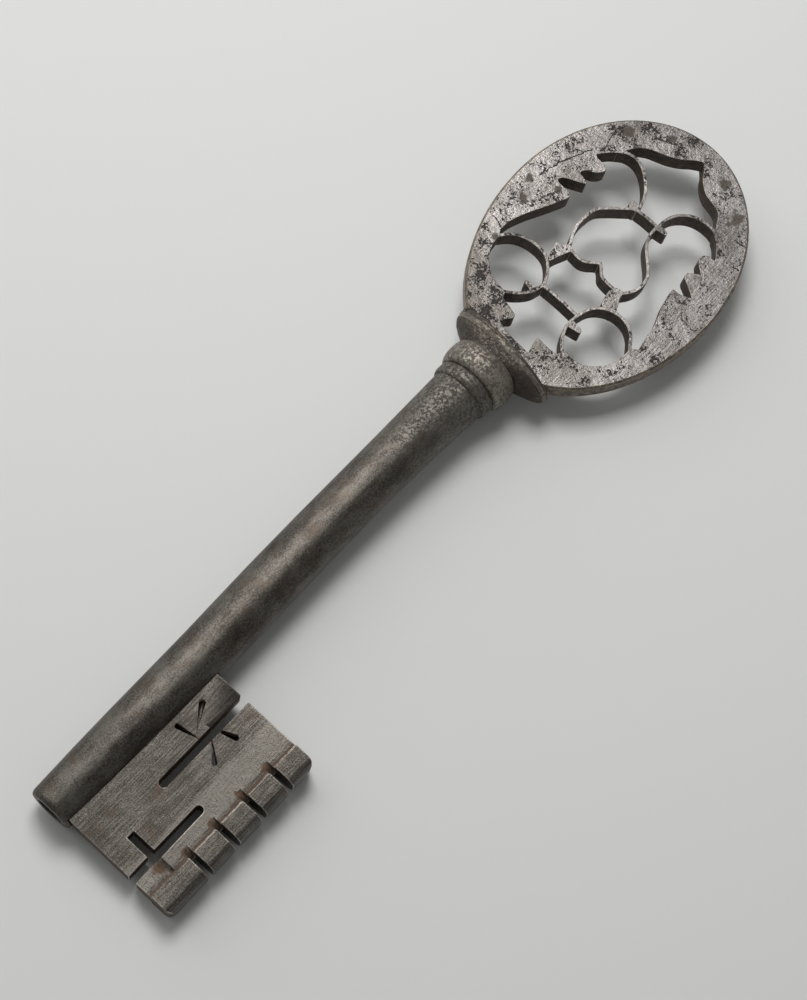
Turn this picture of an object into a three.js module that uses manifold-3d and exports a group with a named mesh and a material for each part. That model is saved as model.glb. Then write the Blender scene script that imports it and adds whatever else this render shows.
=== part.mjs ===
// An old hand-made door key in iron: a drilled round stem, a turned neck ring, a crescent
// saddle that holds a pierced oval bow, and a warded bit with a toothed outer rib.
// Millimetres. The stem's axis runs along +Y, the bit stands out along +X, +Z is up.

import * as THREE from 'three';
import { mergeVertices } from 'three/addons/utils/BufferGeometryUtils.js';
import Module from 'manifold-3d';

const wasm = await Module();
wasm.setup();

// Stem, with the pin hole drilled up from its tip and the bead turned at its top. It has sprung
// a little to the side between bit and neck.
const STEM_LENGTH = 91.2;
const TIP_RADIUS = 3.8;
const DRILLED_RADIUS = 4.15;
const WAIST_RADIUS = 4.3;
const WAIST_START = 0.45;
const WAIST_END = 0.78;
const NECK_RADIUS = 4.72;
const TIP_ROUND = 1.0;
const TIP_ROUND_WIDTH = 0.55;
const STEM_BEND = 0.45;
const PIN_HOLE_RADIUS = 2.3;
const PIN_HOLE_DEPTH = 34;
const PIN_HOLE_CONE = 1.2;
const BEAD_RADIUS = 5.25;
const BEAD_TOP_RADIUS = 4.95;
const BEAD_HEIGHT = 2.4;
const TENON_RADIUS = 2.6;
const TENON_LENGTH = 6.4;

// Neck ring, threaded over the tenon.
const RING_HEIGHT = 4.6;
const RING_RADIUS = 6.05;
const RING_LOWER_RADIUS = 5.0;
const RING_UPPER_RADIUS = 5.25;
const SWELL_FULLNESS = 0.75;

// Saddle, a flared cup with a groove under its lip, higher on the left, that holds the bow.
const SADDLE_FOOT_HALF_WIDTH = 5.35;
const SADDLE_FOOT_HALF_DEPTH = 4.8;
const SADDLE_HALF_WIDTH = 9.75;
const SADDLE_HALF_DEPTH = 4.7;
const SADDLE_HEIGHT = 3.75;
const SADDLE_SIDE_SHIFT = 0.75;
const SADDLE_SLOPE = 0.11;
const SADDLE_LIP_HEIGHT = 0.95;
const SADDLE_LIP_ROUND = 0.35;
const SADDLE_GROOVE_DEPTH = 0.28;
const SADDLE_GROOVE_WIDTH = 0.3;

// How far the saddle has spread to its full width, at shares of the height below its groove.
const SADDLE_FLARE = [[0, 0], [0.1, 0.1], [0.25, 0.28], [0.42, 0.55], [0.6, 0.77], [0.8, 0.91], [0.95, 0.97]];

// Bow, an oval plate with a flat filed on its lower end, let into the saddle.
const BOW_THICKNESS = 3.3;
const BOW_HALF_WIDTH = 19.95;
const BOW_UPPER_HEIGHT = 25.5;
const BOW_LOWER_HEIGHT = 28.3;
const BOW_FLAT = 1.95;
const BOW_SEAT_HEIGHT = 2.8;
const BOW_SIDE_SHIFT = 1.3;
const BOW_EDGE_BEVEL = 0.35;
const BAR_WIDTH = 0.54;

// The sheet that the bow's pattern is drawn on: the oval's middle, half width and two heights.
const SHEET_MIDDLE = [1.35, 124.5];
const SHEET_HALF_WIDTH = 19.95;
const SHEET_UPPER_HEIGHT = 25.5;
const SHEET_LOWER_HEIGHT = 28.3;

// Bit, a plate with its root in a groove along the stem.
const BIT_LENGTH = 29.9;
const BIT_REACH = 23.2;
const BIT_THICKNESS = 3.8;
const BIT_TIP_MARGIN = 0.8;
const BIT_ROOT_DEPTH = 0.5;
const RIB_WIDTH = 3.9;
const RIB_THICKNESS = 5.4;
const RIB_ROUND = 1.35;
const RIB_ROUND_PULL = 0.3;
const SLOT_WIDTH = 1.5;
const SLOT_PLACE = 9.2;
const SLOT_LENGTH = 17.6;
const TIP_SLOT_WIDTH = 1.35;
const TIP_SLOT_PLACE = 15.6;
const TIP_SLOT_LENGTH = 14.2;
const CROSS_PLACE = 8.5;
const CROSS_HEIGHT = 21.9;
const WARD_HEIGHT = 4.45;
const WARD_WIDTH = 1.3;
const WARD_REACH = 4.7;
const WARD_SHALLOW_REACH = 3.4;
const WARD_SHALLOW_DEPTH = 0.7;
const TOOTH_SLOT_WIDTH = 1.05;
const TOOTH_SLOT_COUNT = 4;
const TOOTH_SLOT_FIRST = 8.15;
const TOOTH_SLOT_PITCH = 5.55;
const TOOTH_SLOT_DEPTH = 3.4;
const TOOTH_SLOT_RAMP = 2.0;
const TOOTH_SLOT_SINK = 1.4;

// The four arms of the cross ward: they narrow outwards, and the second is only a sunk groove
// whose floor falls towards the middle.
const CROSS_ARMS = [
  { degrees: 37.7, reach: 5.2, mouth: 3.0, end: 1.0 },
  { degrees: 135.3, reach: 5.3, mouth: 2.05, end: 1.05, sink: [2.6, 0.9] },
  { degrees: 204.5, reach: 4.4, mouth: 1.7, end: 0.9 },
  { degrees: 335.1, reach: 4.9, mouth: 2.3, end: 0.9 },
];

// Fits.
const CLEARANCE = 0.3;
const SEAT_CLEARANCE = 0.1;
const OVERSHOOT = 1;
const ROUND_STEPS = 48;
const SWELL_STEPS = 12;
const CURVE_STEPS = 3;

const ringBottom = STEM_LENGTH;
const saddleBottom = ringBottom + RING_HEIGHT;
const bowSeat = saddleBottom + BOW_SEAT_HEIGHT;
const bowCentre = new THREE.Vector2(BOW_SIDE_SHIFT, bowSeat + BOW_LOWER_HEIGHT - BOW_FLAT);
const bitRoot = Math.sqrt(TIP_RADIUS ** 2 - (BIT_THICKNESS / 2) ** 2) - BIT_ROOT_DEPTH;
const bitTop = BIT_TIP_MARGIN + BIT_LENGTH;

// A closed geometry as a solid that can be joined and cut.
function solid(geometry) {
  const bare = geometry.index ? geometry.toNonIndexed() : geometry.clone();
  bare.deleteAttribute('normal');
  bare.deleteAttribute('uv');
  const merged = mergeVertices(bare, 1e-4);
  const corners = merged.index.array;
  const kept = [];
  for (let i = 0; i < corners.length; i += 3) {
    const [a, b, c] = corners.subarray(i, i + 3);
    if (a !== b && b !== c && c !== a) kept.push(a, b, c);
  }
  return new wasm.Manifold(new wasm.Mesh({
    numProp: 3,
    vertProperties: new Float32Array(merged.attributes.position.array),
    triVerts: new Uint32Array(kept),
  }));
}

// A named mesh of a finished solid.
function piece(name, body, color, roughness) {
  const mesh = body.getMesh();
  const geometry = new THREE.BufferGeometry();
  geometry.setAttribute('position', new THREE.BufferAttribute(mesh.vertProperties, 3));
  geometry.setIndex(new THREE.BufferAttribute(mesh.triVerts, 1));
  const flat = geometry.toNonIndexed();
  flat.computeVertexNormals();
  const material = new THREE.MeshStandardMaterial({ color, roughness, metalness: 0.9 });
  const made = new THREE.Mesh(flat, material);
  made.name = name;
  return made;
}

// A shape turned about the stem's axis, from [radius, height] points, moved sideways by height.
function turned(points, sideways = () => 0) {
  const profile = points.map(([radius, height]) => new THREE.Vector2(radius, height));
  const geometry = new THREE.LatheGeometry(profile, ROUND_STEPS);
  const place = geometry.attributes.position;
  for (let i = 0; i < place.count; i += 1) place.setX(i, place.getX(i) + sideways(place.getY(i)));
  return solid(geometry);
}

// A rounded moulding's profile, from its lower edge over its swell to its upper edge.
function swell(bottom, height, lowerRadius, upperRadius, radius) {
  return Array.from({ length: SWELL_STEPS + 1 }, (_, i) => {
    const angle = Math.PI * (i / SWELL_STEPS - 0.5);
    const rise = (1 + Math.sin(angle)) / 2;
    const edge = THREE.MathUtils.lerp(lowerRadius, upperRadius, rise);
    return [edge + (radius - edge) * Math.cos(angle) ** SWELL_FULLNESS, bottom + height * rise];
  });
}

// A solid through a stack of ovals across the stem's axis, each with its own fall to the right.
function lofted(sections) {
  const points = [];
  for (const { height, halfWidth, halfDepth, shift, fall } of sections) {
    for (let i = 0; i < ROUND_STEPS; i += 1) {
      const angle = (2 * Math.PI * i) / ROUND_STEPS;
      const x = shift + halfWidth * Math.cos(angle);
      points.push(x, height - fall * x, halfDepth * Math.sin(angle));
    }
  }
  const ends = [sections[0], sections.at(-1)];
  for (const { height, shift, fall } of ends) points.push(shift, height - fall * shift, 0);
  const lowest = sections.length * ROUND_STEPS;
  const top = (sections.length - 1) * ROUND_STEPS;
  const corners = [];
  for (let i = 0; i < ROUND_STEPS; i += 1) {
    const next = (i + 1) % ROUND_STEPS;
    corners.push(lowest, i, next, lowest + 1, top + next, top + i);
    for (let ring = 0; ring < top; ring += ROUND_STEPS) {
      const above = ring + ROUND_STEPS;
      corners.push(ring + i, above + i, ring + next, ring + next, above + i, above + next);
    }
  }
  const geometry = new THREE.BufferGeometry();
  geometry.setAttribute('position', new THREE.Float32BufferAttribute(points, 3));
  geometry.setIndex(corners);
  return solid(geometry);
}

// A flat outline as a plate, centred on z = 0 unless it is given a floor.
function plate(shape, thickness, floor = -thickness / 2, bevel = 0) {
  const geometry = new THREE.ExtrudeGeometry(shape, {
    depth: thickness - 2 * bevel,
    curveSegments: CURVE_STEPS,
    bevelEnabled: bevel > 0,
    bevelThickness: bevel,
    bevelSize: bevel,
    bevelOffset: -bevel,
    bevelSegments: 1,
  });
  geometry.translate(0, 0, floor + bevel);
  return solid(geometry);
}

// A rectangle with its two corners given, as a plate.
function slab(x0, y0, x1, y1, thickness, floor) {
  const corners = [[x0, y0], [x1, y0], [x1, y1], [x0, y1]];
  return plate(new THREE.Shape(corners.map(([x, y]) => new THREE.Vector2(x, y))), thickness, floor);
}

// How far the stem stands to the side at a height.
function stemBend(height) {
  const share = THREE.MathUtils.clamp((height - bitTop) / (STEM_LENGTH - bitTop), 0, 1);
  return -STEM_BEND * Math.sin(Math.PI * share);
}

function makeStem() {
  const beadBottom = STEM_LENGTH - BEAD_HEIGHT;
  const rounding = Array.from({ length: 5 }, (_, i) => {
    const angle = (Math.PI / 2) * (i / 4 - 1);
    return [TIP_RADIUS + TIP_ROUND_WIDTH * (Math.cos(angle) - 1), TIP_ROUND * (1 + Math.sin(angle))];
  });
  const sides = new THREE.SplineCurve([
    new THREE.Vector2(TIP_RADIUS, TIP_ROUND),
    new THREE.Vector2(DRILLED_RADIUS, bitTop / 2),
    new THREE.Vector2(WAIST_RADIUS, STEM_LENGTH * WAIST_START),
    new THREE.Vector2(WAIST_RADIUS, STEM_LENGTH * WAIST_END),
    new THREE.Vector2(NECK_RADIUS, beadBottom),
  ]).getPoints(24).slice(1).map(({ x, y }) => [x, y]);
  const body = turned([
    [0, 0],
    ...rounding,
    ...sides,
    ...swell(beadBottom, BEAD_HEIGHT, NECK_RADIUS, BEAD_TOP_RADIUS, BEAD_RADIUS).slice(1),
    [TENON_RADIUS, STEM_LENGTH],
    [TENON_RADIUS, STEM_LENGTH + TENON_LENGTH],
    [0, STEM_LENGTH + TENON_LENGTH],
  ], stemBend);
  const hole = turned([
    [0, -OVERSHOOT],
    [PIN_HOLE_RADIUS, -OVERSHOOT],
    [PIN_HOLE_RADIUS, PIN_HOLE_DEPTH],
    [0, PIN_HOLE_DEPTH + PIN_HOLE_CONE],
  ]);
  const grooveStart = BIT_TIP_MARGIN - SEAT_CLEARANCE;
  const grooveWidth = BIT_THICKNESS + 2 * SEAT_CLEARANCE;
  const groove = slab(bitRoot, grooveStart, BIT_REACH, bitTop + SEAT_CLEARANCE, grooveWidth);
  return body.subtract(hole).subtract(groove);
}

function makeNeckRing() {
  const bore = TENON_RADIUS + CLEARANCE;
  return turned([
    [bore, ringBottom],
    ...swell(ringBottom, RING_HEIGHT, RING_LOWER_RADIUS, RING_UPPER_RADIUS, RING_RADIUS),
    [bore, ringBottom + RING_HEIGHT],
    [bore, ringBottom],
  ]);
}

// The bow's oval, grown by a margin, from its flat seat round and back.
function bowOval(margin = 0) {
  const shape = new THREE.Shape();
  const seat = bowSeat - margin;
  const lower = BOW_LOWER_HEIGHT + margin;
  const width = BOW_HALF_WIDTH + margin;
  const cut = Math.asin((bowCentre.y - seat) / lower);
  const { x, y } = bowCentre;
  shape.absellipse(x, y, width, lower, -cut, 0, false, 0);
  shape.absellipse(x, y, width, BOW_UPPER_HEIGHT + margin, 0, Math.PI, false, 0);
  shape.absellipse(x, y, width, lower, Math.PI, Math.PI + cut, false, 0);
  shape.closePath();
  return new THREE.Shape(shape.getPoints(24));
}

function makeSaddle() {
  const { lerp } = THREE.MathUtils;
  const section = (height, spread, inset = 0) => ({
    height: saddleBottom + height,
    halfWidth: lerp(SADDLE_FOOT_HALF_WIDTH, SADDLE_HALF_WIDTH, spread) - inset,
    halfDepth: lerp(SADDLE_FOOT_HALF_DEPTH, SADDLE_HALF_DEPTH, spread) - inset,
    shift: SADDLE_SIDE_SHIFT * spread,
    fall: SADDLE_SLOPE * (height / SADDLE_HEIGHT),
  });
  const lip = SADDLE_HEIGHT - SADDLE_LIP_HEIGHT;
  const groove = lip - SADDLE_GROOVE_WIDTH;
  const body = lofted([
    ...SADDLE_FLARE.map(([rise, spread]) => section(rise * groove, spread)),
    section(groove + SADDLE_GROOVE_WIDTH / 2, 1, SADDLE_GROOVE_DEPTH),
    section(lip, 1),
    section(SADDLE_HEIGHT - SADDLE_LIP_ROUND, 1),
    section(SADDLE_HEIGHT - SADDLE_LIP_ROUND / 4, 1, SADDLE_LIP_ROUND / 4),
    section(SADDLE_HEIGHT, 1, SADDLE_LIP_ROUND),
  ]);
  const socket = turned([
    [0, saddleBottom - OVERSHOOT],
    [TENON_RADIUS + CLEARANCE, saddleBottom - OVERSHOOT],
    [TENON_RADIUS + CLEARANCE, STEM_LENGTH + TENON_LENGTH + CLEARANCE],
    [0, STEM_LENGTH + TENON_LENGTH + CLEARANCE],
  ]);
  const slot = plate(bowOval(SEAT_CLEARANCE), BOW_THICKNESS + 2 * SEAT_CLEARANCE);
  return body.subtract(socket).subtract(slot);
}

// A point of the pattern sheet on the bow, so that the pattern follows the oval's own size.
function bowPoint([x, y]) {
  const above = y > SHEET_MIDDLE[1];
  const stretch = above ? BOW_UPPER_HEIGHT / SHEET_UPPER_HEIGHT : BOW_LOWER_HEIGHT / SHEET_LOWER_HEIGHT;
  return new THREE.Vector2(
    bowCentre.x + (x - SHEET_MIDDLE[0]) * (BOW_HALF_WIDTH / SHEET_HALF_WIDTH),
    bowCentre.y + (y - SHEET_MIDDLE[1]) * stretch,
  );
}

// An outline of smooth stretches that meet at corners; each starts where the last one ends.
function outlineOf(stretches, steps = CURVE_STEPS) {
  const shape = new THREE.Shape();
  const start = bowPoint(stretches[0][0]);
  shape.moveTo(start.x, start.y);
  stretches.forEach((stretch, index) => {
    const points = stretch.slice(index === 0 ? 1 : 0).map(bowPoint);
    if (points.length === 1) shape.lineTo(points[0].x, points[0].y);
    else shape.splineThru(points);
  });
  return new THREE.Shape(shape.getPoints(steps));
}

// A bar of the tracery along a line of points of the pattern sheet.
function bar(points, width = BAR_WIDTH) {
  const line = new THREE.SplineCurve(points.map(bowPoint));
  const steps = 3 * (points.length - 1);
  const left = [];
  const right = [];
  for (let i = 0; i <= steps; i += 1) {
    const at = line.getPoint(i / steps);
    const along = line.getTangent(i / steps);
    const side = new THREE.Vector2(-along.y, along.x).multiplyScalar(width / 2);
    left.push(at.clone().add(side));
    right.push(at.clone().sub(side));
  }
  return plate(new THREE.Shape([...left, ...right.toReversed()]), BOW_THICKNESS);
}

// The inner edge of the bow's rim: the pointed top, and down each side two teeth, a long leaf,
// the side of a ring and a short leaf over the saddle.
const RIM_INNER_EDGE = [
  [[2.25, 146.7], [3.2, 145.6], [4, 144.3], [5.2, 143.1], [6.5, 142.3], [8.5, 141.8], [9.9, 141.1],
    [11, 139.2]],
  [[12, 137.6]],
  [[12.9, 136.9], [13.8, 135.8], [14.8, 134.3]],
  [[13.5, 134.2], [12.75, 133.6], [12.7, 132.7], [13.4, 131.8], [14.7, 130.8]],
  [[13.5, 130.05], [12.85, 129.4], [13.1, 128.5], [14.4, 127.7], [16.2, 126.6]],
  [[14.6, 125.8], [13.05, 125.7]],
  [[13.05, 124.6], [13.5, 122.5], [14.3, 120.4], [14.9, 118.4], [15.15, 116.4], [15.7, 113.7]],
  [[14.7, 112.9]],
  [[14.55, 111], [14.3, 109.3], [13, 107.1], [11.2, 105.6], [9.5, 105.1], [7.7, 105.3]],
  [[6.95, 104.3]],
  [[6, 103.8], [2.9, 103.95]],
  [[3, 102.4], [3.6, 100.95]],
  [[2, 101], [0, 101.1], [-1.6, 101.3], [-3.2, 101.8]],
  [[-2.8, 102.8], [-2.1, 103.6], [-2.2, 104.3]],
  [[-3.4, 104.7], [-5.5, 105.2]],
  [[-6, 106.3]],
  [[-8, 106.5], [-9.7, 107.1], [-11.4, 108.5], [-12.6, 110.4], [-13, 112.6]],
  [[-13.6, 113.9]],
  [[-13.5, 116], [-12.5, 119], [-11.1, 122], [-9.95, 124.6], [-9.47, 126], [-9.75, 126.8]],
  [[-10.8, 126.85], [-12, 126.9], [-12.7, 127.1], [-12.75, 127.55], [-12.2, 128.2], [-11, 128.8], [-9.8, 129.4],
    [-9.05, 129.85], [-9.3, 130.3]],
  [[-10.2, 130.5], [-10.85, 130.6], [-11, 131.1], [-10.4, 131.9], [-9.4, 132.4], [-8.6, 133.2], [-8.3, 134.05],
    [-8.7, 134.6]],
  [[-9.9, 134.75], [-10.85, 134.85], [-11.1, 135.3], [-10.5, 136.2], [-9.7, 137.2], [-8.8, 138]],
  [[-8.2, 139.2], [-7.6, 140.3]],
  [[-6.9, 141.2], [-5.5, 142.2], [-4, 142.8], [-2.3, 143.5], [-0.5, 144.6], [1, 145.9], [2.25, 146.7]],
];

// The bars of the tracery: two scrolls, the table, the two sides of the bulb, the wave under
// it, the two rings and the bar between them.
const BARS = [
  [[-9.2, 138], [-8, 138.9], [-6.5, 139.25], [-5.2, 139.05], [-3.8, 138.35], [-2.4, 137.15], [-1.2, 135.75],
    [-0.5, 134.4], [-0.15, 133], [-0.1, 132.3]],
  [[4.3, 132.4], [4.4, 134], [4.9, 135.6], [6, 137], [7.4, 137.95], [9, 138.4], [10.8, 138.45], [12.6, 137.9]],
  [[-0.4, 132.2], [2, 132.35], [4.4, 132.3]],
  [[-0.4, 132.2], [-1.7, 131], [-3.2, 129.6], [-4.6, 128.1], [-5.15, 126.9], [-5.35, 125.2], [-5.3, 123.4],
    [-4.9, 121.8], [-4.2, 120.4], [-3.5, 119.2]],
  [[4.2, 132.4], [4.25, 130.6], [5, 128.6], [6.4, 127], [7.8, 125.6], [8.75, 124.2], [9, 122.8], [8.85, 121.4],
    [8.3, 120.2], [7.4, 119]],
  [[-3.9, 119.3], [-2.2, 119.1], [-0.8, 119.05], [0.3, 119.6], [1.2, 120.4], [1.9, 120.85]],
  [[1.6, 120.85], [2.4, 120.2], [3.2, 119.3], [4.2, 119], [5.6, 118.9], [6.8, 119]],
  [[-13.6, 112.2], [-12.4, 113.9], [-11, 115.1], [-9, 115.8], [-7, 115.9], [-5.4, 115.5], [-4.1, 114.5],
    [-3, 113], [-2.45, 111.6], [-2.6, 110.4], [-3, 109.2], [-3.8, 108.1], [-4.9, 107], [-6.4, 106]],
  [[15.2, 112], [14.2, 113.4], [13.2, 114.7], [11.7, 115.7], [9.8, 116], [8, 115.6], [6.6, 114.7], [5.6, 113.4],
    [5.1, 111.8], [4.8, 110.2], [4.9, 108.6], [5.4, 107.2], [6.2, 105.9], [7.5, 104.6]],
  [[-2.6, 111.3], [0, 111.4], [2.5, 111.35], [5, 111.2]],
];

// The knobs where bars meet, and the two small hooks inside the rings.
const KNOBS = [
  [[-0.2, 133.1], [-1.6, 133.1], [-1.85, 132.4], [-1.2, 131.7], [0, 131.9], [-0.2, 133.1]],
  [[4.1, 133.1], [5.2, 132.8], [6.05, 132.6], [6.1, 132], [4.8, 131.8], [4, 131.7], [4.1, 133.1]],
  [[-3.6, 119.8], [-4.9, 119.2], [-5.8, 118.4], [-5.5, 117.3], [-5.1, 116], [-4.4, 115.3], [-3.9, 116.8],
    [-3.4, 118], [-3, 119.2], [-3.6, 119.8]],
  [[6.4, 119.4], [5.85, 118.5], [5.9, 117.2], [6.5, 115.4], [7.6, 115.4], [8.9, 115.9], [8.5, 117.2],
    [7.9, 118.4], [7.6, 119.5], [6.4, 119.4]],
  [[-2.7, 110.6], [-3.9, 110.2], [-4.9, 110.2], [-4.8, 109.6], [-3.9, 109.4], [-3, 109.2], [-2.7, 110.6]],
  [[4.8, 110.2], [6.2, 110], [7, 109.8], [7.2, 109.2], [6.1, 108.9], [4.8, 108.8], [4.8, 110.2]],
];

function makeBow() {
  const blank = plate(bowOval(), BOW_THICKNESS, -BOW_THICKNESS / 2, BOW_EDGE_BEVEL);
  const rim = blank.subtract(plate(outlineOf(RIM_INNER_EDGE), 2 * BOW_THICKNESS));
  const tracery = [
    ...BARS.map((points) => bar(points)),
    ...KNOBS.map((points) => plate(outlineOf([points]), BOW_THICKNESS)),
  ];
  return tracery.reduce((body, next) => body.add(next), rim);
}

// A straight slot with one round end, as a cutter from height y0 to height y1.
function slotCutter(x, y0, y1, width, roundAt) {
  const shape = new THREE.Shape();
  shape.absarc(x, roundAt, width / 2, 0, 2 * Math.PI, false);
  const end = plate(new THREE.Shape(shape.getPoints(8)), 2 * RIB_THICKNESS);
  return slab(x - width / 2, y0, x + width / 2, y1, 2 * RIB_THICKNESS).add(end);
}

// A cutter for one arm of the cross, from the cross's middle outwards along its own direction.
function armCutter({ degrees, reach, mouth, end, sink }) {
  const shape = new THREE.Shape();
  shape.moveTo(0, -mouth / 2);
  shape.absarc(reach - end / 2, 0, end / 2, -Math.PI / 2, Math.PI / 2, false);
  shape.lineTo(0, mouth / 2);
  shape.closePath();
  let cutter = plate(new THREE.Shape(shape.getPoints(4)), 2 * RIB_THICKNESS);
  if (sink) {
    const [middleSink, endSink] = sink;
    const slope = Math.atan((middleSink - endSink) / reach);
    const above = slab(-reach, -reach, 2 * reach, reach, RIB_THICKNESS, 0);
    const floor = above.rotate([0, -THREE.MathUtils.radToDeg(slope), 0]);
    cutter = cutter.intersect(floor.translate([0, 0, BIT_THICKNESS / 2 - middleSink]));
  }
  const height = BIT_TIP_MARGIN + CROSS_HEIGHT;
  return cutter.rotate([0, 0, degrees]).translate([CROSS_PLACE, height, 0]);
}

// A cutter for one slot between two teeth: right through the rib, with a ramp at its inner end.
function toothCutter(y) {
  const wall = BIT_REACH - TOOTH_SLOT_DEPTH;
  const ramp = wall - TOOTH_SLOT_RAMP;
  const face = BIT_THICKNESS / 2;
  const far = BIT_REACH + OVERSHOOT;
  const half = [[wall, face - TOOTH_SLOT_SINK], [ramp, face], [ramp, RIB_THICKNESS], [far, RIB_THICKNESS]];
  const shape = new THREE.Shape([
    ...half.map(([x, z]) => new THREE.Vector2(x, z)),
    ...half.toReversed().map(([x, z]) => new THREE.Vector2(x, -z)),
  ]);
  const geometry = new THREE.ExtrudeGeometry(shape, { depth: TOOTH_SLOT_WIDTH, bevelEnabled: false });
  geometry.rotateX(-Math.PI / 2);
  geometry.translate(0, y - TOOTH_SLOT_WIDTH / 2, 0);
  return solid(geometry);
}

// The thick outer rib of the bit, a bar along the stem with its outer edges rounded.
function makeRib() {
  const start = BIT_REACH - RIB_WIDTH;
  const half = RIB_THICKNESS / 2;
  const pull = RIB_ROUND_PULL;
  const profile = new THREE.Shape();
  profile.moveTo(start, -half);
  profile.lineTo(BIT_REACH - RIB_ROUND, -half);
  profile.quadraticCurveTo(BIT_REACH - pull, -half + pull, BIT_REACH, -half + RIB_ROUND);
  profile.lineTo(BIT_REACH, half - RIB_ROUND);
  profile.quadraticCurveTo(BIT_REACH - pull, half - pull, BIT_REACH - RIB_ROUND, half);
  profile.lineTo(start, half);
  profile.closePath();
  const rib = new THREE.ExtrudeGeometry(new THREE.Shape(profile.getPoints(5)), {
    depth: BIT_LENGTH,
    bevelEnabled: false,
  });
  rib.rotateX(-Math.PI / 2);
  rib.translate(0, BIT_TIP_MARGIN, 0);
  return solid(rib);
}

function makeBit() {
  const round = RIB_ROUND;
  const outline = new THREE.Shape();
  outline.moveTo(bitRoot, BIT_TIP_MARGIN);
  outline.lineTo(BIT_REACH - round, BIT_TIP_MARGIN);
  outline.quadraticCurveTo(BIT_REACH, BIT_TIP_MARGIN, BIT_REACH, BIT_TIP_MARGIN + round);
  outline.lineTo(BIT_REACH, bitTop - round);
  outline.quadraticCurveTo(BIT_REACH, bitTop, BIT_REACH - round, bitTop);
  outline.lineTo(bitRoot, bitTop);
  outline.closePath();
  const edge = plate(new THREE.Shape(outline.getPoints(5)), 2 * RIB_THICKNESS);

  const web = slab(bitRoot, BIT_TIP_MARGIN, BIT_REACH - RIB_WIDTH / 2, bitTop, BIT_THICKNESS);
  let body = web.add(makeRib()).intersect(edge);
  const slotEnd = bitTop - SLOT_LENGTH + SLOT_WIDTH / 2;
  body = body.subtract(slotCutter(SLOT_PLACE, slotEnd, bitTop + OVERSHOOT, SLOT_WIDTH, slotEnd));
  const tipSlotEnd = BIT_TIP_MARGIN + TIP_SLOT_LENGTH - TIP_SLOT_WIDTH / 2;
  body = body.subtract(slotCutter(TIP_SLOT_PLACE, -OVERSHOOT, tipSlotEnd, TIP_SLOT_WIDTH, tipSlotEnd));
  for (const arm of CROSS_ARMS) body = body.subtract(armCutter(arm));
  const ward = BIT_TIP_MARGIN + WARD_HEIGHT;
  const wardEnd = TIP_SLOT_PLACE - WARD_REACH;
  const wardTop = ward + WARD_WIDTH / 2;
  body = body.subtract(slab(wardEnd, ward - WARD_WIDTH / 2, TIP_SLOT_PLACE, wardTop, 2 * RIB_THICKNESS));
  const floor = BIT_THICKNESS / 2 - WARD_SHALLOW_DEPTH;
  const shallowEnd = TIP_SLOT_PLACE + WARD_SHALLOW_REACH;
  body = body.subtract(slab(TIP_SLOT_PLACE, ward - WARD_WIDTH / 2, shallowEnd, wardTop, RIB_THICKNESS, floor));
  for (let i = 0; i < TOOTH_SLOT_COUNT; i += 1) {
    body = body.subtract(toothCutter(BIT_TIP_MARGIN + TOOTH_SLOT_FIRST + i * TOOTH_SLOT_PITCH));
  }
  return body;
}

const key = new THREE.Group();
key.add(
  piece('stem', makeStem(), 0x6f675e, 0.45),
  piece('neck_ring', makeNeckRing(), 0x6b6157, 0.42),
  piece('saddle', makeSaddle(), 0x5f574f, 0.5),
  piece('bow', makeBow(), 0xa29a90, 0.4),
  piece('bit', makeBit(), 0x877d72, 0.42),
);

// The key lies flat: the origin is under the middle of its box, on its lowest level.
const box = new THREE.Box3().setFromObject(key);
const middle = box.getCenter(new THREE.Vector3());
key.position.set(-middle.x, -middle.y, -box.min.z);
key.updateMatrixWorld(true);

export default key;
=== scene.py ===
import math

import bmesh
import bpy
from mathutils import Matrix, Vector


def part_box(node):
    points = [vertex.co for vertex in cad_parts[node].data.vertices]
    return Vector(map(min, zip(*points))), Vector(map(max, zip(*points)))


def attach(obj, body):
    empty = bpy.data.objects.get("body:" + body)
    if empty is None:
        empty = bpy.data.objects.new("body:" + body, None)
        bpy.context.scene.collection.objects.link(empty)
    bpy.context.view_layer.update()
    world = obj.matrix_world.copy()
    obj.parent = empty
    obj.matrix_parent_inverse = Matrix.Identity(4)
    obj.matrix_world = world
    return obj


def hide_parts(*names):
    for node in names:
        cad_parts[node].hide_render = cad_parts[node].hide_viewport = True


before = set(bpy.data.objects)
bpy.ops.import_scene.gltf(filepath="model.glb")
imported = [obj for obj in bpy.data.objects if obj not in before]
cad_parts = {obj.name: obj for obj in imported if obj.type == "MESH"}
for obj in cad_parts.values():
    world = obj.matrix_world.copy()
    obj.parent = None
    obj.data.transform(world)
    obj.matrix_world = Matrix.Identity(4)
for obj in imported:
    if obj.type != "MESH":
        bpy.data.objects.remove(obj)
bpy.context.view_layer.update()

MM = 0.001


# The camera stands above the key's tip, a little to the bit's side, and looks up along the
# stem. Its place and its two directions are in the key's own frame, which lies along Y.
CAMERA_PLACE = Vector((45.145, -101.745, 305.83)) * MM
CAMERA_RIGHT = Vector((0.7394, 0.6642, 0.1103))
CAMERA_BACK = Vector((0.1326, -0.3042, 0.9433))
CAMERA_HEIGHT_ANGLE = math.radians(27.0)
CLIP_START = 0.01

lens = bpy.data.cameras.new("camera")
lens.sensor_fit = "VERTICAL"
lens.angle = CAMERA_HEIGHT_ANGLE
lens.clip_start = CLIP_START
camera = bpy.data.objects.new("camera", lens)
bpy.context.scene.collection.objects.link(camera)
right = CAMERA_RIGHT.normalized()
back = (CAMERA_BACK - CAMERA_BACK.dot(right) * right).normalized()
turn = Matrix((right, back.cross(right), back)).transposed()
camera.matrix_world = Matrix.Translation(CAMERA_PLACE) @ turn.to_4x4()
bpy.context.scene.camera = camera
bpy.context.scene.view_settings.view_transform = "Standard"


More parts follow.
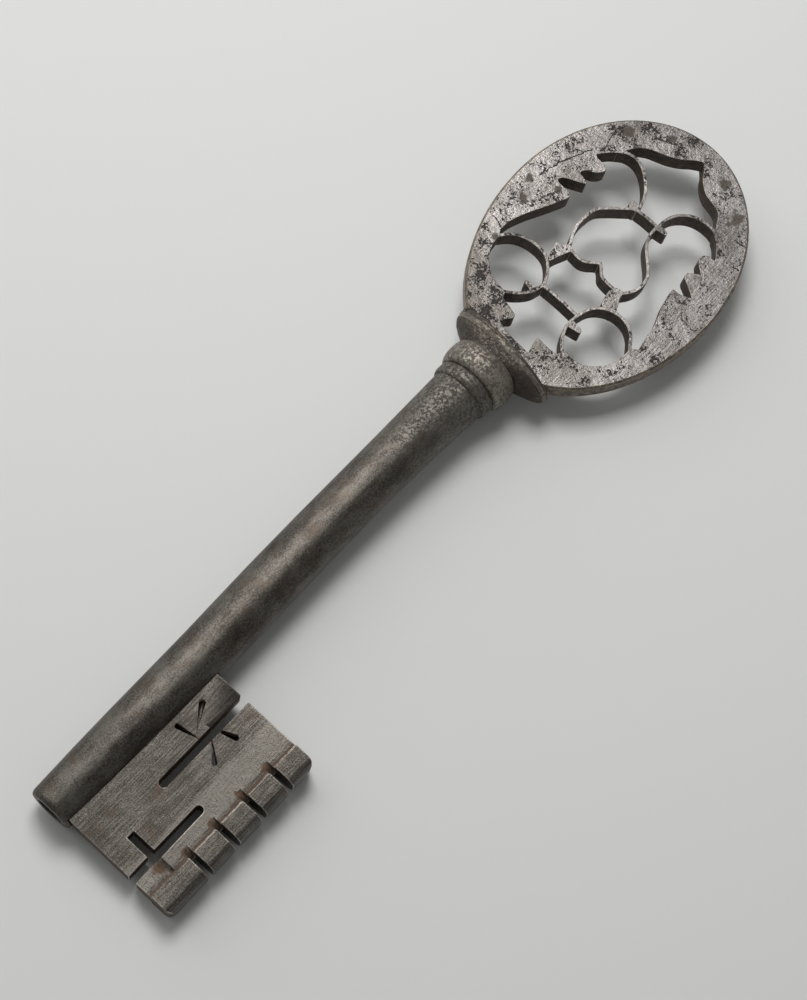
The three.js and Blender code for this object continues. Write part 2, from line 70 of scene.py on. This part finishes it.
# The light is one soft window high behind the bow's left side, a wide pale wall low on the
# left, and a dim even sky all round. All three are plain and nearly white.
SKY_COLOUR = (0.97, 1.0, 0.985, 1.0)
SKY_STRENGTH = 0.22
WINDOW_POWER = 1.58
WINDOW_SIZE = 0.22
WINDOW_FROM = Vector((-0.43, 0.33, 1.0))
WINDOW_DISTANCE = 0.50
WALL_POWER = 3.0
WALL_SIZE = 0.9
WALL_FROM = Vector((-1.0, 0.15, 0.55))
WALL_DISTANCE = 0.9

world = bpy.data.worlds.new("sky")
world.use_nodes = True
world.node_tree.nodes["Background"].inputs["Color"].default_value = SKY_COLOUR
world.node_tree.nodes["Background"].inputs["Strength"].default_value = SKY_STRENGTH
bpy.context.scene.world = world


def area_light(name, size, power, towards_light, distance):
    """A square lamp that shines on the key from the given side."""
    lamp = bpy.data.lights.new(name, "AREA")
    lamp.shape = "SQUARE"
    lamp.size = size
    lamp.energy = power
    placed = bpy.data.objects.new(name, lamp)
    bpy.context.scene.collection.objects.link(placed)
    placed.location = towards_light.normalized() * distance
    placed.rotation_euler = towards_light.to_track_quat("Z", "Y").to_euler()


area_light("window", WINDOW_SIZE, WINDOW_POWER, WINDOW_FROM, WINDOW_DISTANCE)
area_light("wall", WALL_SIZE, WALL_POWER, WALL_FROM, WALL_DISTANCE)


# The stem: a round bar of wrought iron, drilled from its tip, forged and filed smooth, with a
# bead turned under the neck. Handling has polished it; its neck end is pitted by rust, and
# there its colour is lightened as a painted glint.
STEM_DARK = (0.044, 0.036, 0.030, 1.0)
STEM_GREY = (0.150, 0.137, 0.119, 1.0)
STEM_BROWN = (0.085, 0.060, 0.043, 1.0)
# Where along the stem the pits gather and a painted glint lightens it, in millimetres.
STEM_PITS_AND_GLINT_FROM = -12.0
STEM_PITS_AND_GLINT_TO = 14.0
STEM_EDGE_WIDTH = 0.12
SHARP_EDGE_ANGLE = 40
# The widths of the iron's grain, hammering, drawing, clouds, pits and brown stains, and the
# depth of its relief, in millimetres.
GRAIN_SIZE = 0.22
HAMMERED_SIZE = 0.75
DRAWN_SIZE = 1.1
CLOUD_SIZE = 7.0
PIT_SIZE = 0.50
BROWN_SIZE = 3.0
IRON_RELIEF = 0.055
# How near two corners are one, in millimetres, and how level two faces are one, in degrees.
MERGE_WITHIN = 0.004
FLAT_WITHIN = 0.4
EDGE_SEGMENTS = 2
EVEN_SHADING = 100


class Value:
    """A shader value that plain arithmetic joins into Math nodes."""

    def __init__(self, shader, socket):
        self.shader = shader
        self.socket = socket

    def maths(self, operation, first, second):
        made = self.shader.node("ShaderNodeMath", {"operation": operation}, {0: first, 1: second})
        return Value(self.shader, made.outputs[0])

    def __add__(self, other):
        return self.maths("ADD", self, other)

    def __radd__(self, other):
        return self.maths("ADD", other, self)

    def __sub__(self, other):
        return self.maths("SUBTRACT", self, other)

    def __rsub__(self, other):
        return self.maths("SUBTRACT", other, self)

    def __mul__(self, other):
        return self.maths("MULTIPLY", self, other)

    def __rmul__(self, other):
        return self.maths("MULTIPLY", other, self)

    def most(self, other):
        return self.maths("MAXIMUM", self, other)


class Shader:
    """A material whose nodes are made from a type, its settings and its inputs."""

    def __init__(self, name):
        self.material = bpy.data.materials.new(name)
        self.material.use_nodes = True
        self.nodes = self.material.node_tree.nodes
        self.links = self.material.node_tree.links
        self.surface = self.nodes["Principled BSDF"]
        self.place = self.node("ShaderNodeTexCoord", {}, {}).outputs["Object"]

    def node(self, kind, settings, inputs):
        made = self.nodes.new(kind)
        for setting, choice in settings.items():
            setattr(made, setting, choice)
        for socket, given in inputs.items():
            self.feed(made.inputs[socket], given)
        return made

    def feed(self, socket, given):
        if isinstance(given, Value):
            given = given.socket
        if isinstance(given, bpy.types.NodeSocket):
            self.links.new(given, socket)
        else:
            socket.default_value = given

    def stretched(self, sizes, turn=0.0):
        inputs = {"Vector": self.place, "Scale": sizes, "Rotation": (0, 0, turn)}
        return self.node("ShaderNodeMapping", {}, inputs).outputs["Vector"]

    def noise(self, size_mm, detail=4.0, place=None, rough=0.6):
        inputs = {"Vector": place or self.place, "Scale": 1.0 / (size_mm * MM)}
        inputs.update({"Detail": detail, "Roughness": rough})
        return Value(self, self.node("ShaderNodeTexNoise", {}, inputs).outputs["Fac"])

    def step(self, value, low, high):
        settings = {"interpolation_type": "SMOOTHSTEP"}
        inputs = {"Value": value, "From Min": low, "From Max": high}
        made = self.node("ShaderNodeMapRange", settings, inputs)
        return Value(self, made.outputs["Result"])

    def mix(self, amount, first, second):
        settings = {"data_type": "RGBA", "clamp_factor": False}
        made = self.node("ShaderNodeMix", settings, {"Factor": amount, "A": first, "B": second})
        return made.outputs["Result"]

    def axis(self, name):
        made = self.node("ShaderNodeSeparateXYZ", {}, {"Vector": self.place})
        return Value(self, made.outputs[name])

    def finish(self, colour, roughness, metallic, height, depth_mm):
        self.feed(self.surface.inputs["Base Color"], colour)
        self.feed(self.surface.inputs["Roughness"], roughness)
        self.feed(self.surface.inputs["Metallic"], metallic)
        relief = {"Height": height, "Distance": depth_mm * MM, "Strength": 1.0}
        bump = self.node("ShaderNodeBump", {}, relief)
        self.links.new(bump.outputs["Normal"], self.surface.inputs["Normal"])
        return self.material


def dark_iron(name, dark, grey, brown, even_pits_and_glint=0.0, pits_and_glint_from=0.0, pits_and_glint_to=1.0):
    """Handled wrought iron: fine grain, faint lengthwise drawing, pits gathering upwards, and a
    painted glint there.
    """
    shader = Shader(name)
    grain = shader.noise(GRAIN_SIZE, 3.0, rough=0.7)
    hammered = shader.noise(HAMMERED_SIZE, 4.0, rough=0.65)
    drawn = shader.noise(DRAWN_SIZE, 4.0, shader.stretched((1.0, 0.3, 1.0)))
    clouds = shader.noise(CLOUD_SIZE, 4.0)
    pits_and_glint = shader.step(shader.axis("Y"), pits_and_glint_from * MM, pits_and_glint_to * MM) * (1.0 - even_pits_and_glint) + even_pits_and_glint
    pit_noise = shader.noise(PIT_SIZE, 5.0, rough=0.72) + pits_and_glint * 0.10
    pits = shader.step(pit_noise, 0.58, 0.66) * (pits_and_glint * 0.85 + 0.06)
    # Where the pits gather, the colour is lightened past the grey: a painted glint.
    tone = shader.step(drawn * 0.25 + clouds * 0.25 + grain * 0.50, 0.40, 0.60) + pits_and_glint * 0.55
    colour = shader.mix(tone, dark, grey)
    colour = shader.mix(shader.step(shader.noise(BROWN_SIZE, 5.0), 0.50, 0.72) * 0.6, colour, brown)
    colour = shader.mix(pits * 0.85, colour, dark)
    height = grain * (pits_and_glint * 0.5 + 0.45) + hammered * (pits_and_glint * 2.3 + 0.25) - pits * 0.90
    rough = 0.40 + grain * 0.14 + pits * 0.15
    return shader.finish(colour, rough, 0.86 - pits * 0.5, height, IRON_RELIEF)


def copied(node, name):
    """The node's mesh as a new closed piece, with its corners merged, ready to be finished."""
    bpy.ops.object.select_all(action="DESELECT")
    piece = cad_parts[node].copy()
    piece.data = piece.data.copy()
    piece.name = name
    piece.data.name = name
    piece.parent = None
    piece.matrix_world = Matrix.Identity(4)
    bpy.context.scene.collection.objects.link(piece)
    piece.data.materials.clear()
    bpy.context.view_layer.objects.active = piece
    piece.select_set(True)
    bpy.ops.object.mode_set(mode="EDIT")
    bpy.ops.mesh.select_all(action="SELECT")
    bpy.ops.mesh.remove_doubles(threshold=MERGE_WITHIN * MM)
    bpy.ops.mesh.dissolve_limited(angle_limit=math.radians(FLAT_WITHIN))
    bpy.ops.mesh.customdata_custom_splitnormals_clear()
    bpy.ops.object.mode_set(mode="OBJECT")
    return piece


def worn(piece, width_mm, angle_degrees, material_index=-1, is_narrow=lambda place: False):
    """Rounds the piece's sharp edges a little, but not where it is narrow, and evens its shading."""
    shape = bmesh.new()
    shape.from_mesh(piece.data)
    rounded = shape.edges.layers.float.new("bevel_weight_edge")
    for edge in shape.edges:
        middle = (edge.verts[0].co + edge.verts[1].co) / 2
        if edge.calc_face_angle(0.0) > math.radians(angle_degrees) and not is_narrow(middle):
            edge[rounded] = 1.0
    shape.to_mesh(piece.data)
    shape.free()
    rounding = piece.modifiers.new("worn", "BEVEL")
    rounding.width = width_mm * MM
    rounding.segments = EDGE_SEGMENTS
    rounding.limit_method = "WEIGHT"
    rounding.use_clamp_overlap = False
    rounding.material = material_index
    bpy.context.view_layer.objects.active = piece
    bpy.ops.object.modifier_apply(modifier=rounding.name)
    bpy.ops.object.shade_smooth()
    normals = piece.modifiers.new("even", "WEIGHTED_NORMAL")
    normals.weight = EVEN_SHADING
    bpy.ops.object.modifier_apply(modifier=normals.name)


stem = copied("stem", "stem_iron")
worn(stem, STEM_EDGE_WIDTH, SHARP_EDGE_ANGLE)
stem.data.materials.append(
    dark_iron("stem_iron", STEM_DARK, STEM_GREY, STEM_BROWN, 0.0, STEM_PITS_AND_GLINT_FROM, STEM_PITS_AND_GLINT_TO)
)
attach(stem, "root")
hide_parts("stem")


# The neck ring: a turned iron ring pushed over the stem's tenon and brazed. Handling has
# left it paler than the stem, and pitted all round. Its pitting also lightens its colour all
# round as a painted glint.
RING_DARK = (0.070, 0.055, 0.043, 1.0)
RING_GREY = (0.260, 0.235, 0.200, 1.0)
RING_PITS_AND_GLINT = 0.65
RING_EDGE_WIDTH = 0.10

ring = copied("neck_ring", "neck_ring_iron")
worn(ring, RING_EDGE_WIDTH, SHARP_EDGE_ANGLE)
ring.data.materials.append(dark_iron("ring_iron", RING_DARK, RING_GREY, STEM_BROWN, RING_PITS_AND_GLINT))
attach(ring, "root")
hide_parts("neck_ring")


# The saddle: a flared iron cup with a grooved lip, hollowed for the bow's lower end and brazed
# to ring and bow. It is the darkest piece, because only the edges of its lip are rubbed.
SADDLE_GREY = (0.105, 0.089, 0.074, 1.0)
SADDLE_DARK = (0.040, 0.032, 0.026, 1.0)
SADDLE_LIP = (0.250, 0.220, 0.185, 1.0)
# The saddle's even pitting also lightens its colour a little, as a painted glint.
SADDLE_PITS_AND_GLINT = 0.12
SADDLE_EDGE_WIDTH = 0.18
SADDLE_EDGE_ANGLE = 42

saddle = copied("saddle", "saddle_iron")
for finish_name, dark, grey in (
    ("saddle_iron", SADDLE_DARK, SADDLE_GREY), ("saddle_lip", SADDLE_GREY, SADDLE_LIP),
):
    saddle.data.materials.append(dark_iron(finish_name, dark, grey, STEM_BROWN, SADDLE_PITS_AND_GLINT))
worn(saddle, SADDLE_EDGE_WIDTH, SADDLE_EDGE_ANGLE, 1)
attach(saddle, "root")
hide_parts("saddle")


# The bow: an oval iron plate, pierced with drill and file into scrolls, leaves and rings. Its
# two faces are worn pale and pitted, the cut walls are dark, and the cut edges shine.
BOW_SILVER = (0.320, 0.299, 0.287, 1.0)
BOW_GREY = (0.120, 0.107, 0.096, 1.0)
BOW_PIT = (0.022, 0.017, 0.014, 1.0)
BOW_RUST = (0.060, 0.045, 0.034, 1.0)
BOW_WALL = (0.036, 0.027, 0.020, 1.0)
BOW_RIM_WALL = (0.110, 0.094, 0.078, 1.0)
BOW_EDGE = (0.330, 0.285, 0.225, 1.0)
BOW_SMOOTH_SIDE_FROM = -6.0
BOW_SMOOTH_SIDE_TO = 12.0
BOW_FOOT_FROM = 40.0
BOW_FOOT_TO = 27.0
BOW_FILE_TURN = math.radians(-10)
BOW_CROSS_TURN = math.radians(-55)
BOW_EDGE_WIDTH = 0.07
BOW_RELIEF = 0.075
# The widths of the bow's grain, dimples, broad painted sheen, pit clusters, pits, stains and
# file marks, in millimetres.
BOW_GRAIN_SIZE = 0.24
BOW_DIMPLE_SIZE = 0.8
BOW_BROAD_SHEEN_SIZE = 5.5
BOW_CLUSTER_SIZE = 2.4
BOW_PIT_SIZE = 0.42
BOW_STAIN_SIZE = 2.8
BOW_MARK_SIZE = 0.22
BLOT_SIZE = 0.9
# Walls further out than this share of the bow's half width and height are its outer wall.
BOW_OUTER_SHARE = 0.93
# A face whose normal's upright part is above this share is a flat face.
FACE_SHARE = 0.85
# Rust patches on the rim: place across and along, and radius, in millimetres.
BOW_PATCHES = [
    (4.9, 71.5, 1.2), (10.3, 67.7, 1.7), (-12.7, 67.4, 1.2), (-6.5, 71.4, 0.9),
    (-18.6, 49.3, 0.8), (-17.0, 45.9, 1.1), (-13.8, 51.0, 0.7), (-15.5, 37.5, 0.8),
]
# Hairline cracks in the rim: both ends of each, in millimetres.
BOW_CRACKS = [
    ((-18.0, 50.6), (-16.3, 57.2)), ((-17.4, 53.6), (-14.6, 61.0)), ((-8.7, 69.6), (-4.9, 71.3)),
    ((-13.3, 61.8), (-14.2, 65.8)), ((12.3, 64.6), (15.2, 65.0)), ((-18.6, 40.2), (-15.0, 39.2)),
]


def shaped_spot(shader, x, y, radius, blot):
    """A round spot with a ragged edge, at a place across and along in millimetres."""
    kind = "ShaderNodeVectorMath"
    centre = (x * MM, y * MM, 0)
    flat = shader.node(kind, {"operation": "MULTIPLY"}, {0: shader.place, 1: (1, 1, 0)})
    reach = shader.node(kind, {"operation": "DISTANCE"}, {0: flat.outputs[0], 1: centre})
    ragged = Value(shader, reach.outputs["Value"]) * (1.0 / (radius * MM)) + blot * 2.4
    return 1.0 - shader.step(ragged, 1.7, 2.3)


def hairline(shader, start, end, blot):
    """A thin wavering crack between two places given in millimetres."""
    length = math.dist(start, end)
    along = ((end[0] - start[0]) / length, (end[1] - start[1]) / length)
    across_place = shader.axis("X") * (1.0 / MM) - start[0]
    along_place = shader.axis("Y") * (1.0 / MM) - start[1]
    run = across_place * along[0] + along_place * along[1]
    off = along_place * along[0] - across_place * along[1] + (blot - 0.5) * 1.2
    near = 1.0 - shader.step(off * off, 0.002, 0.014)
    return near * shader.step(run, 0.0, 0.6) * (1.0 - shader.step(run, length - 0.6, length))


def bow_iron(name, silver, grey, patches, cracks, pitting):
    """Worn bright iron: silver with clustered pits, file marks and broad painted sheen, rust patches
    and cracks.
    """
    shader = Shader(name)
    fine = shader.noise(BOW_GRAIN_SIZE, 4.0, rough=0.75)
    dimples = shader.noise(BOW_DIMPLE_SIZE, 5.0, rough=0.62)
    broad = shader.noise(BOW_BROAD_SHEEN_SIZE, 4.0)
    blot = shader.noise(BLOT_SIZE, 4.0)
    smooth = shader.step(shader.axis("X"), BOW_SMOOTH_SIDE_FROM * MM, BOW_SMOOTH_SIDE_TO * MM)
    foot = 1.0 - shader.step(shader.axis("Y"), BOW_FOOT_TO * MM, BOW_FOOT_FROM * MM)
    rough_foot = foot * (1.0 - smooth)
    filed = shader.noise(BOW_MARK_SIZE, 3.0, shader.stretched((1.0, 0.07, 1.0), BOW_FILE_TURN))
    crossed = shader.noise(BOW_MARK_SIZE, 3.0, shader.stretched((1.0, 0.07, 1.0), BOW_CROSS_TURN))
    marks = filed * 0.5 + crossed * 0.5
    # The broad noise lightens and darkens the face in patches as painted sheen.
    level = fine * 0.40 + marks * 0.28 + broad * 0.32
    bright = shader.step(level - rough_foot * 0.08, 0.41, 0.58)
    cluster = shader.noise(BOW_CLUSTER_SIZE, 4.0)
    crowded = cluster * 0.70 + rough_foot * 0.06 - smooth * 0.02
    pits = shader.step(shader.noise(BOW_PIT_SIZE, 6.0, rough=0.74) + crowded, 0.925, 0.975) * pitting
    stain = shader.step(shader.noise(BOW_STAIN_SIZE, 5.0), 0.60, 0.74) * 0.5
    for x, y, radius in patches:
        stain = stain.most(shaped_spot(shader, x, y, radius, blot))
    line = pits * 0.0
    for start, end in cracks:
        line = line.most(hairline(shader, start, end, blot))
    dark = pits.most(line)
    colour = shader.mix(bright, grey, silver)
    colour = shader.mix(stain * 0.85, colour, BOW_RUST)
    colour = shader.mix(dark, colour, BOW_PIT)
    height = fine * 0.40 + dimples * (1.6 - smooth * 0.7) + marks * (smooth * 0.5 + 0.2)
    height = height - dark * 0.9 - stain * 0.3
    rough = 0.34 + stain * 0.18 + dark * 0.20 + fine * 0.06
    return shader.finish(colour, rough, 0.92 - dark * 0.6 - stain * 0.4, height, BOW_RELIEF)


def cut_wall(name, wall, roughness=0.6):
    """The sawn and filed wall of a cut, brown-black with old rust."""
    shader = Shader(name)
    mottle = shader.step(shader.noise(0.8, 5.0), 0.40, 0.66)
    paler = (wall[0] * 2.6, wall[1] * 2.3, wall[2] * 2.1, 1.0)
    colour = shader.mix(mottle, wall, paler)
    return shader.finish(colour, roughness, 0.45, shader.noise(0.4, 4.0), 0.05)


def by_direction(piece, materials, is_outer):
    """Gives flat faces the first material, cut walls the second and the outer wall the fourth."""
    for material in materials:
        piece.data.materials.append(material)
    for polygon in piece.data.polygons:
        if abs(polygon.normal.z) > FACE_SHARE:
            polygon.material_index = 0
        else:
            polygon.material_index = 3 if is_outer(polygon.center) else 1


bow = copied("bow", "bow_iron")
bow_low, bow_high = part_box("bow")
bow_middle = (Vector(bow_low) + Vector(bow_high)) / 2
bow_half = (Vector(bow_high) - Vector(bow_low)) / 2


def on_bow_rim(place):
    """Whether a wall of the bow lies on its outer oval."""
    across = (place.x - bow_middle.x) / bow_half.x
    along = (place.y - bow_middle.y) / bow_half.y
    return math.hypot(across, along) > BOW_OUTER_SHARE


by_direction(bow, [
    bow_iron("bow_face", BOW_SILVER, BOW_GREY, BOW_PATCHES, BOW_CRACKS, 1.0),
    cut_wall("bow_wall", BOW_WALL),
    bow_iron("bow_edge", BOW_EDGE, BOW_GREY, [], [], 0.3),
    cut_wall("bow_rim_wall", BOW_RIM_WALL, 0.45),
], on_bow_rim)
worn(bow, BOW_EDGE_WIDTH, SHARP_EDGE_ANGLE, 2)
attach(bow, "root")
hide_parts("bow")


# The bit: an iron plate let into the stem and brazed, cut with wards, its outer edge left
# thick and sawn into teeth. It is scratched lengthwise, and rusty in the cuts.
BIT_PALE = (0.190, 0.172, 0.150, 1.0)
BIT_GREY = (0.060, 0.052, 0.044, 1.0)
BIT_PIT = (0.030, 0.023, 0.018, 1.0)
# The rust colour, also used for the painted shade line at the rib's step.
BIT_RUST_AND_STEP_SHADE = (0.110, 0.062, 0.034, 1.0)
BIT_WALL = (0.058, 0.040, 0.028, 1.0)
BIT_RIB_SIDE = (0.070, 0.064, 0.058, 1.0)
BIT_EDGE = (0.560, 0.510, 0.450, 1.0)
BIT_BAND_FROM = 12.4
BIT_BAND_TO = 16.2
# A painted shade line where the rib steps up from the web: its place across and its width, in
# millimetres.
BIT_STEP_SHADE_PLACE = 16.7
BIT_STEP_SHADE_WIDTH = 0.22
BIT_NECK_END = -52.0
BIT_TOP = -44.0
BIT_RIB_FACE = 17.0
BIT_EDGE_WIDTH = 0.15
BIT_RELIEF = 0.055
BIT_GRAIN_SIZE = 0.22
BIT_DIMPLE_SIZE = 1.3
BIT_SCRATCH_SIZE = 0.20
BIT_BROAD_SIZE = 5.0
BIT_STAIN_SIZE = 3.2
BIT_PIT_SIZE = 0.36
# The cross-shaped ward and the shallow ward, where edges stay sharp: place and reach.
BIT_WARDS = [((6.2, -52.5), 6.5), ((15.6, -70.0), 3.2)]
# Rust at the inner ends of the slots between the teeth and in the shallow ward: place across
# and along, and radius, in millimetres.
BIT_RUST_SPOTS = [
    (16.2, -66.6, 0.8), (16.2, -61.0, 0.9), (16.1, -55.4, 0.8), (16.1, -49.9, 0.8), (14.9, -70.6, 1.1),
    (7.0, -53.2, 0.9),
]


def bit_iron(name, pale, grey, pitting):
    """Iron scratched lengthwise in use: a paler band, a painted shade line at the rib's step, rust in
    the cuts.
    """
    shader = Shader(name)
    across = shader.axis("X")
    fine = shader.noise(BIT_GRAIN_SIZE, 4.0, rough=0.72)
    dimples = shader.noise(BIT_DIMPLE_SIZE, 4.0)
    blot = shader.noise(BLOT_SIZE, 4.0)
    scratched = shader.noise(BIT_SCRATCH_SIZE, 3.0, shader.stretched((1.0, 0.05, 1.0)))
    broad = shader.noise(BIT_BROAD_SIZE, 4.0)
    band = shader.step(across, (BIT_BAND_FROM - 1.0) * MM, BIT_BAND_FROM * MM)
    band = band * (1.0 - shader.step(across, (BIT_BAND_TO - 0.4) * MM, BIT_BAND_TO * MM))
    neck_end = shader.step(shader.axis("Y"), BIT_NECK_END * MM, BIT_TOP * MM)
    level = fine * 0.42 + scratched * 0.36 + broad * 0.22 + band * 0.10 + neck_end * 0.02
    tone = shader.step(level, 0.42, 0.62)
    # A dark line along the rib, in the rust colour, is painted shade of a step that the shape lacks.
    off = (across * (1.0 / MM) - BIT_STEP_SHADE_PLACE + (blot - 0.5) * 0.8) * (1.0 / BIT_STEP_SHADE_WIDTH)
    step_shade_line = 1.0 - shader.step(off * off, 0.2, 1.6)
    stain = shader.step(shader.noise(BIT_STAIN_SIZE, 5.0), 0.58, 0.74) * 0.45
    stain = stain.most(step_shade_line * 0.75)
    for x, y, radius in BIT_RUST_SPOTS:
        stain = stain.most(shaped_spot(shader, x, y, radius, blot))
    pit_noise = shader.noise(BIT_PIT_SIZE, 5.0, rough=0.72) + broad * 0.30
    pits = shader.step(pit_noise, 0.745, 0.80) * pitting
    colour = shader.mix(tone, grey, pale)
    colour = shader.mix(stain * 0.9, colour, BIT_RUST_AND_STEP_SHADE)
    colour = shader.mix(pits, colour, BIT_PIT)
    height = fine * 1.15 + dimples * 1.2 + scratched * 0.30 - pits * 0.6 - stain * 0.2
    rough = 0.40 + stain * 0.2 + pits * 0.2 + fine * 0.08
    return shader.finish(colour, rough, 0.88 - pits * 0.5 - stain * 0.5, height, BIT_RELIEF)


bit = copied("bit", "bit_iron")
by_direction(bit, [
    bit_iron("bit_face", BIT_PALE, BIT_GREY, 0.35),
    cut_wall("bit_wall", BIT_WALL),
    bit_iron("bit_edge", BIT_EDGE, BIT_PALE, 0.2),
    bit_iron("bit_rib_side", BIT_PALE, BIT_RIB_SIDE, 0.35),
], lambda place: place.x > BIT_RIB_FACE * MM)


def by_wards(place):
    """Whether a place on the bit is near its cross-shaped ward or its shallow ward."""
    across, along = place.x / MM, place.y / MM
    return any(math.dist((across, along), centre) < reach for centre, reach in BIT_WARDS)


worn(bit, BIT_EDGE_WIDTH, SHARP_EDGE_ANGLE, 2, by_wards)
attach(bit, "root")
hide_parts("bit")


# The floor is a sheet of pale paper. The key lies on it with the neck ring, the tip and the
# bit's outer edge, so the sheet is tipped a little against the key's own frame.
FLOOR_COLOUR = (0.70, 0.70, 0.685, 1.0)
FLOOR_SHADE = (0.62, 0.62, 0.605, 1.0)
FLOOR_SIZE = 3.0
TIP_TOUCH = Vector((-2.275, -74.2, 2.25)) * MM
RING_TOUCH = Vector((-2.275, 18.275, 0.0)) * MM
BIT_TOUCH = Vector((19.9, -74.4, 3.35)) * MM
FLOOR_GAP = 0.05
FIBRE_SIZE = 5.0
FIBRE_RELIEF = 0.02
FIBRE_SHARE = 0.10
FLOOR_ROUGHNESS = 0.9

floor_up = (BIT_TOUCH - TIP_TOUCH).cross(RING_TOUCH - TIP_TOUCH).normalized()
bpy.ops.object.select_all(action="DESELECT")
bpy.ops.mesh.primitive_plane_add(size=FLOOR_SIZE)
floor = bpy.context.object
floor.name = "paper"
floor.rotation_euler = floor_up.to_track_quat("Z", "Y").to_euler()
floor.location = TIP_TOUCH - floor_up * FLOOR_GAP * MM
paper = Shader("paper")
fibres = paper.noise(FIBRE_SIZE, 6.0)
paper_tone = paper.mix(fibres * FIBRE_SHARE, FLOOR_COLOUR, FLOOR_SHADE)
floor.data.materials.append(paper.finish(paper_tone, FLOOR_ROUGHNESS, 0.0, fibres, FIBRE_RELIEF))
